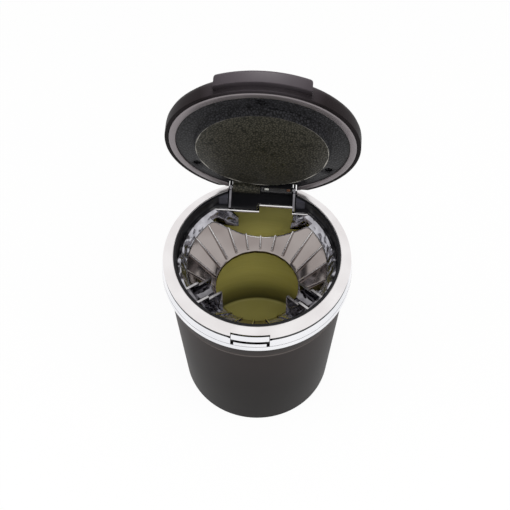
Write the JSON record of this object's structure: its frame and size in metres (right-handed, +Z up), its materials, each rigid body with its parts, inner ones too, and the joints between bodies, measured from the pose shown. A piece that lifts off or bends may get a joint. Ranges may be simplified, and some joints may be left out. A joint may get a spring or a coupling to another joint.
{
  "type": "car ashtray",
  "caption": "Cup-holder car ashtray: tapered black cup with metal liner, bright rim bands, ribbed funnel with cigarette rests, and a hinged lid standing open.",
  "frame": {"origin": "centre of the cup's flat base", "axes": "+Z up along the cup's axis, -Y to the front button, +Y to the hinge"},
  "size_m": [0.0822, 0.0858, 0.1691],
  "materials": {
    "black_plastic": "soft satin moulded",
    "rim_plastic": "satin moulded",
    "gold_liner": "olive-gold lacquered tinplate",
    "chrome": "satin bright plating",
    "mirror_plating": "vacuum-plated mirror",
    "steel": "bright drawn",
    "grey_metal": "grey metallic",
    "grained_plastic": "leather grain",
    "dark_screws": "blackened",
    "gloss_black": "glossy smoked",
    "pale_lamp": "milky epoxy",
    "copper": "bare copper alloy",
    "board": "solder mask"
  },
  "bodies": {
    "base": {"outer_cup": "black_plastic", "liner_cup": "gold_liner", "lower_trim_ring": "chrome", "upper_trim_ring": "chrome", "inner_rim": "rim_plastic", "funnel_insert": "mirror_plating", "hinge_pin": "steel", "button_spring": "steel"},
    "button": {"release_button": "chrome"},
    "lid": {"lid_shell": "black_plastic", "lid_trim_ring": "grey_metal", "lid_liner_plate": "grained_plastic", "lid_screws": "dark_screws", "lamp_housing": "gloss_black", "lamp_board": "board", "lamp_led": "pale_lamp", "lamp_contact": "copper", "coin_cell": "steel"}
  },
  "joints": [
    {"name": "lid_hinge", "type": "hinge", "parent": "base", "child": "lid", "pos_m": [0, 0.035, 0.0908], "axis": [1, 0, 0], "range_deg": [0, 82.3]},
    {"name": "button_press", "type": "slide", "parent": "base", "child": "button", "axis": [0, 1, 0], "range_m": [0, 0.0012], "stiffness_N_per_m": 600, "springref_m": -0.001, "deforming": ["button_spring"]}
  ]
}
